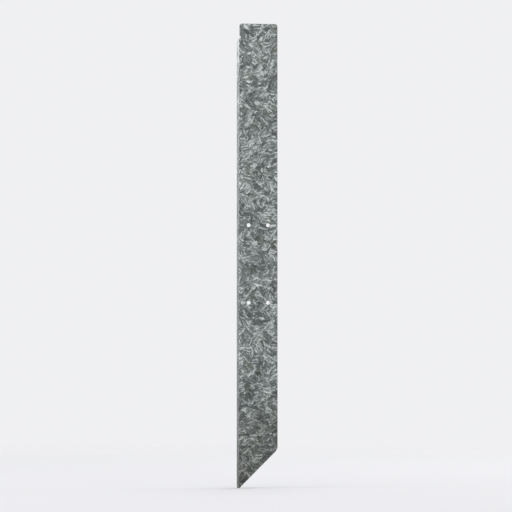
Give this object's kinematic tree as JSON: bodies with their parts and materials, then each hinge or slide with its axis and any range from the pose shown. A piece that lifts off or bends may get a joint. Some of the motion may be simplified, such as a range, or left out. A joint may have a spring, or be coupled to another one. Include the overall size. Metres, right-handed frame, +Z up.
{
  "type": "post anchor spike",
  "caption": "Folded sheet-steel angle with a slanted point, screw holes in its web and a flat driving tab, driven into the ground beside a post.",
  "frame": {"origin": "middle of the four screw holes, on the web's back face, which lies against the post", "axes": "+Z up the spike towards the driving tab, +Y out of the web's back face towards the post, +X across the web away from the fold"},
  "size_m": [0.05, 0.025, 0.6],
  "materials": {
    "galvanised_steel": "galvanised, dull grey-green zinc with a dense feathery spangle"
  },
  "bodies": {
    "root": {"angle_spike": "galvanised_steel"}
  },
  "joints": []
}
